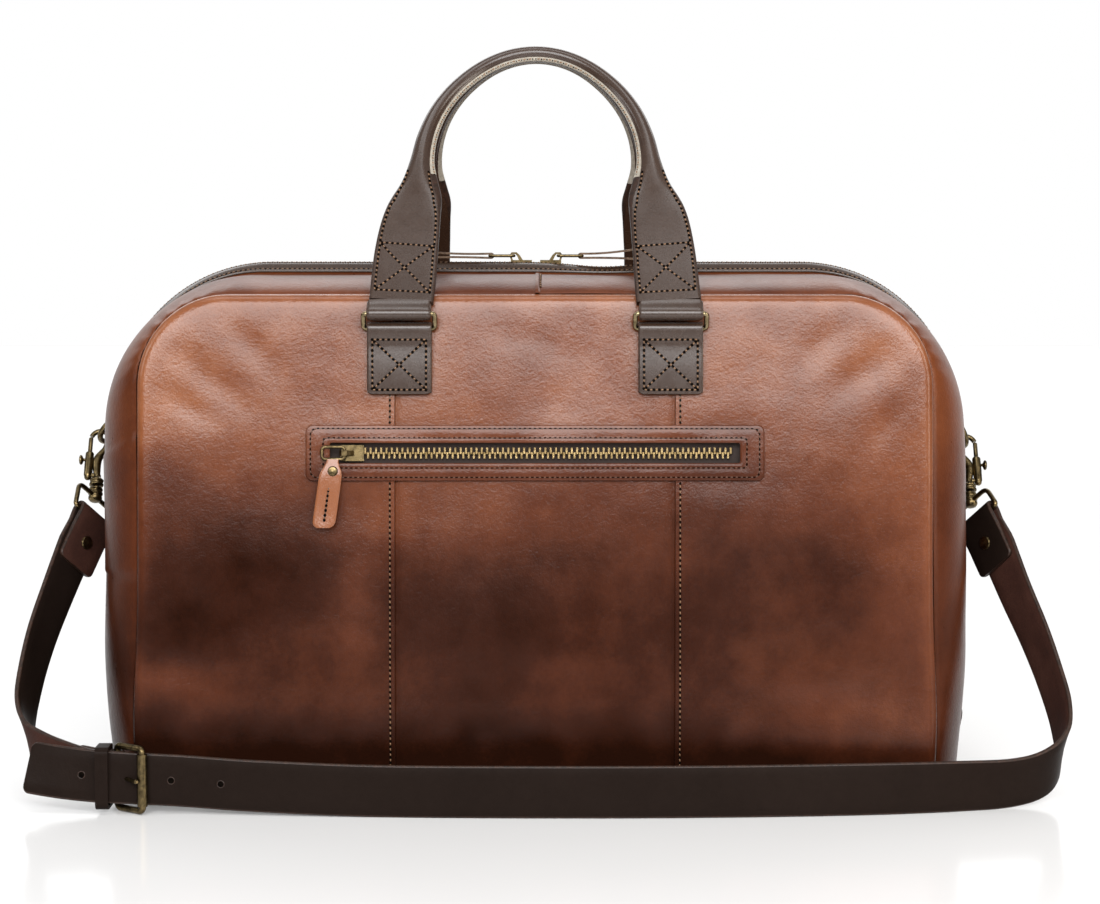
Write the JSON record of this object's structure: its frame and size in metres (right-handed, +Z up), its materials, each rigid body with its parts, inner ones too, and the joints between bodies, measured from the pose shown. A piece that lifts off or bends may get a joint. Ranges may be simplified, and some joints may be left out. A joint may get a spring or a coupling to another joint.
{
  "type": "weekender bag",
  "caption": "Soft leather weekender bag with zipped top, square-ring carry handles, zipped front pocket and a detachable buckled shoulder strap.",
  "frame": {"origin": "bottom of the middle base stud, on the floor under the middle of the bag", "axes": "+X to the right along the bag, -Y out of the front with the pocket, +Z up"},
  "size_m": [0.6207, 0.2735, 0.4433],
  "materials": {
    "body_leather": "polished, hand-shaded",
    "tan_leather": "polished, hand-shaded",
    "dark_leather": "smooth satin",
    "antique_brass": "antique",
    "zip_brass": "polished",
    "zip_tape": "woven",
    "lining_cloth": "woven",
    "board": "matt"
  },
  "bodies": {
    "root": {"front_panel_left": "body_leather", "front_panel_centre": "body_leather", "front_panel_right": "tan_leather", "back_panel_left": "body_leather", "back_panel_centre": "body_leather", "back_panel_right": "body_leather", "gusset_front_left": "body_leather", "gusset_front_right": "tan_leather", "gusset_rear_left": "body_leather", "gusset_rear_right": "tan_leather", "bottom_panel": "body_leather", "base_board": "board", "base_feet": "antique_brass", "lining_panels": "lining_cloth", "lining_gusset": "lining_cloth", "zip_binding_front": "dark_leather", "zip_binding_rear": "dark_leather", "main_zip_tape": "zip_tape", "main_zip_chain": "zip_brass", "zip_end_tab_left": "dark_leather", "zip_end_tab_right": "dark_leather", "pocket_frame": "body_leather", "pocket_zip_tape": "zip_tape", "pocket_zip_chain": "zip_brass", "pocket_pouch": "lining_cloth", "front_chape_left": "dark_leather", "front_chape_right": "dark_leather", "rear_chape_left": "dark_leather", "rear_chape_right": "dark_leather", "d_ring_tab_left": "dark_leather", "d_ring_tab_right": "dark_leather", "strap_loop_left": "antique_brass", "strap_loop_right": "antique_brass", "strap_rivets": "antique_brass", "long_strap": "dark_leather", "short_strap": "dark_leather", "strap_keeper": "dark_leather", "buckle_frame": "antique_brass"},
    "front_ring_left": {"front_ring_left": "antique_brass"},
    "front_ring_right": {"front_ring_right": "antique_brass"},
    "front_handle": {"front_handle": "dark_leather"},
    "rear_ring_left": {"rear_ring_left": "antique_brass"},
    "rear_ring_right": {"rear_ring_right": "antique_brass"},
    "rear_handle": {"rear_handle": "dark_leather"},
    "zip_slider_left": {"zip_slider_left": "antique_brass"},
    "zip_pull_left": {"zip_pull_left": "dark_leather"},
    "zip_slider_right": {"zip_slider_right": "antique_brass"},
    "zip_pull_right": {"zip_pull_right": "dark_leather"},
    "pocket_slider": {"pocket_slider": "antique_brass"},
    "pocket_pull_ring": {"pocket_pull_ring": "antique_brass"},
    "pocket_pull_tab": {"pocket_pull_tab": "tan_leather", "pocket_tab_rivet": "antique_brass"},
    "d_ring_left": {"d_ring_left": "antique_brass"},
    "hook_left": {"hook_left": "antique_brass"},
    "hook_trigger_left": {"hook_trigger_left": "antique_brass"},
    "d_ring_right": {"d_ring_right": "antique_brass"},
    "hook_right": {"hook_right": "antique_brass"},
    "hook_trigger_right": {"hook_trigger_right": "antique_brass"},
    "buckle_prong": {"buckle_prong": "antique_brass"},
    "buckle_roller": {"buckle_roller": "antique_brass"}
  },
  "joints": [
    {"name": "front_ring_left", "type": "hinge", "parent": "root", "child": "front_ring_left", "pos_m": [-0.078, -0.10956, 0.2766], "axis": [1, 0, 0], "range_deg": [0, 100]},
    {"name": "front_ring_right", "type": "hinge", "parent": "root", "child": "front_ring_right", "pos_m": [0.078, -0.10956, 0.2766], "axis": [1, 0, 0], "range_deg": [0, 100]},
    {"name": "front_handle", "type": "hinge", "parent": "front_ring_left", "child": "front_handle", "pos_m": [0, -0.11456, 0.28526], "axis": [1, 0, 0], "range_deg": [0, 75]},
    {"name": "rear_ring_left", "type": "hinge", "parent": "root", "child": "rear_ring_left", "pos_m": [-0.078, 0.10956, 0.2766], "axis": [-1, 0, 0], "range_deg": [0, 100]},
    {"name": "rear_ring_right", "type": "hinge", "parent": "root", "child": "rear_ring_right", "pos_m": [0.078, 0.10956, 0.2766], "axis": [-1, 0, 0], "range_deg": [0, 100]},
    {"name": "rear_handle", "type": "hinge", "parent": "rear_ring_left", "child": "rear_handle", "pos_m": [0, 0.11456, 0.28526], "axis": [-1, 0, 0], "range_deg": [0, 75]},
    {"name": "zip_slider_left", "type": "slide", "parent": "root", "child": "zip_slider_left", "axis": [-1, 0, 0], "range_m": [0, 0.15]},
    {"name": "zip_pull_left", "type": "hinge", "parent": "zip_slider_left", "child": "zip_pull_left", "pos_m": [-0.0135, 0, 0.3174], "axis": [0, 1, 0], "range_deg": [0, 100]},
    {"name": "zip_slider_right", "type": "slide", "parent": "root", "child": "zip_slider_right", "axis": [1, 0, 0], "range_m": [0, 0.15]},
    {"name": "zip_pull_right", "type": "hinge", "parent": "zip_slider_right", "child": "zip_pull_right", "pos_m": [0.0135, 0, 0.3174], "axis": [0, -1, 0], "range_deg": [0, 100]},
    {"name": "pocket_slider", "type": "slide", "parent": "root", "child": "pocket_slider", "axis": [1, 0, 0], "range_m": [0, 0.21]},
    {"name": "pocket_pull_ring", "type": "hinge", "parent": "pocket_slider", "child": "pocket_pull_ring", "pos_m": [-0.1095, -0.11666, 0.20532], "axis": [0, 0.0858, 0.9963], "range_deg": [0, 80]},
    {"name": "pocket_pull_tab", "type": "hinge", "parent": "pocket_pull_ring", "child": "pocket_pull_tab", "pos_m": [-0.116, -0.11696, 0.20183], "axis": [-1, 0, 0], "range_deg": [0, 70]},
    {"name": "d_ring_left", "type": "hinge", "parent": "root", "child": "d_ring_left", "pos_m": [-0.2592, 0.0244, 0.213], "axis": [0, 0.8486, -0.5291], "range_deg": [0, 5]},
    {"name": "hook_swivel_left", "type": "hinge", "parent": "root", "child": "hook_left", "pos_m": [-0.27299, -0.00437, 0.16686], "axis": [0, 0.5291, 0.8486], "range_deg": [-15, 15]},
    {"name": "hook_trigger_left", "type": "slide", "parent": "hook_left", "child": "hook_trigger_left", "axis": [0, -0.5291, -0.8486], "range_m": [0, 0.005], "stiffness_N_per_m": 200},
    {"name": "d_ring_right", "type": "hinge", "parent": "root", "child": "d_ring_right", "pos_m": [0.2592, 0.0244, 0.213], "axis": [0, -0.8486, 0.5291], "range_deg": [0, 5]},
    {"name": "hook_swivel_right", "type": "hinge", "parent": "root", "child": "hook_right", "pos_m": [0.26874, -0.00632, 0.16373], "axis": [0, 0.5291, 0.8486], "range_deg": [-15, 15]},
    {"name": "hook_trigger_right", "type": "slide", "parent": "hook_right", "child": "hook_trigger_right", "axis": [0, -0.5291, -0.8486], "range_m": [0, 0.005], "stiffness_N_per_m": 200},
    {"name": "buckle_prong", "type": "hinge", "parent": "root", "child": "buckle_prong", "pos_m": [-0.24, -0.1309, 0.0202], "axis": [0, 0, -1], "range_deg": [0, 8]},
    {"name": "buckle_roller", "type": "hinge", "parent": "root", "child": "buckle_roller", "pos_m": [-0.224, -0.1428, 0.0202], "axis": [0, 0, 1], "continuous": true}
  ],
  "couplings": [
    {"joint": "front_ring_right", "follows": "front_ring_left", "ratio": 1},
    {"joint": "rear_ring_right", "follows": "rear_ring_left", "ratio": 1}
  ]
}
